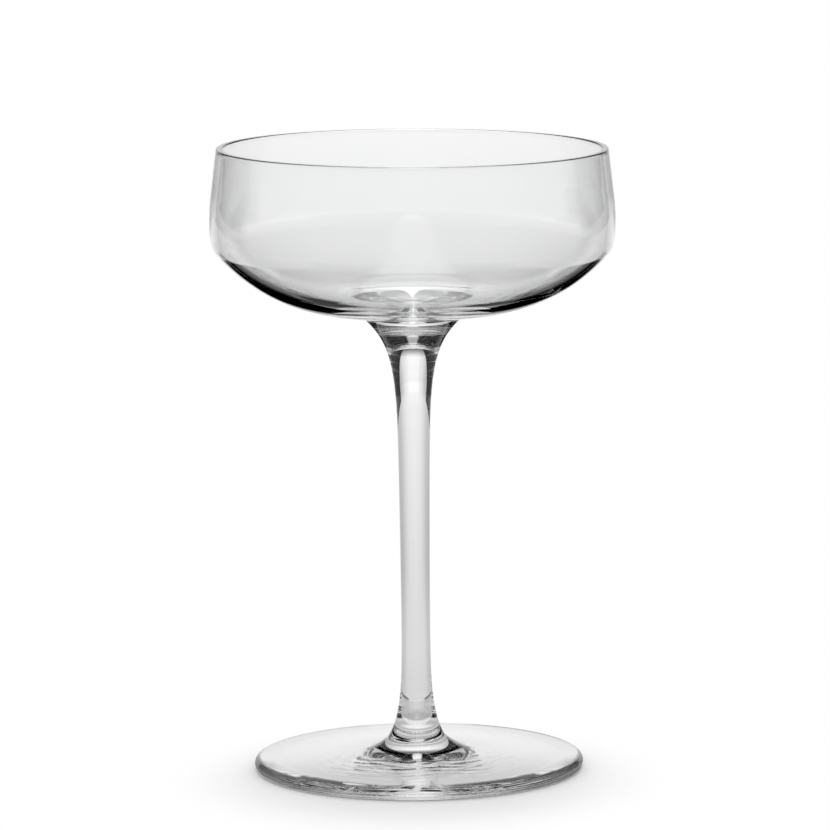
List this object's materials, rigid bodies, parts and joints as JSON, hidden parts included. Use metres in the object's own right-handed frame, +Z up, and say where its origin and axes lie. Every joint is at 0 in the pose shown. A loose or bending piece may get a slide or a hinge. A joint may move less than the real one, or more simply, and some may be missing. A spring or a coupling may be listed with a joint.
{
  "type": "coupe glass",
  "caption": "Clear stemmed coupe glass with a shallow bowl whose walls lean in to the rim, a slim drawn stem and a round foot.",
  "frame": {"origin": "centre of the ring that the foot rests on, in the plane of the table", "axes": "+Z up along the stem to the open mouth of the bowl; the glass is round about Z"},
  "size_m": [0.1032, 0.103, 0.16],
  "materials": {
    "bowl_glass": "clear, fire-polished",
    "stem_glass": "clear, fire-polished",
    "foot_glass": "clear, fire-polished"
  },
  "bodies": {
    "root": {"bowl": "bowl_glass", "stem": "stem_glass", "foot": "foot_glass"}
  },
  "joints": []
}
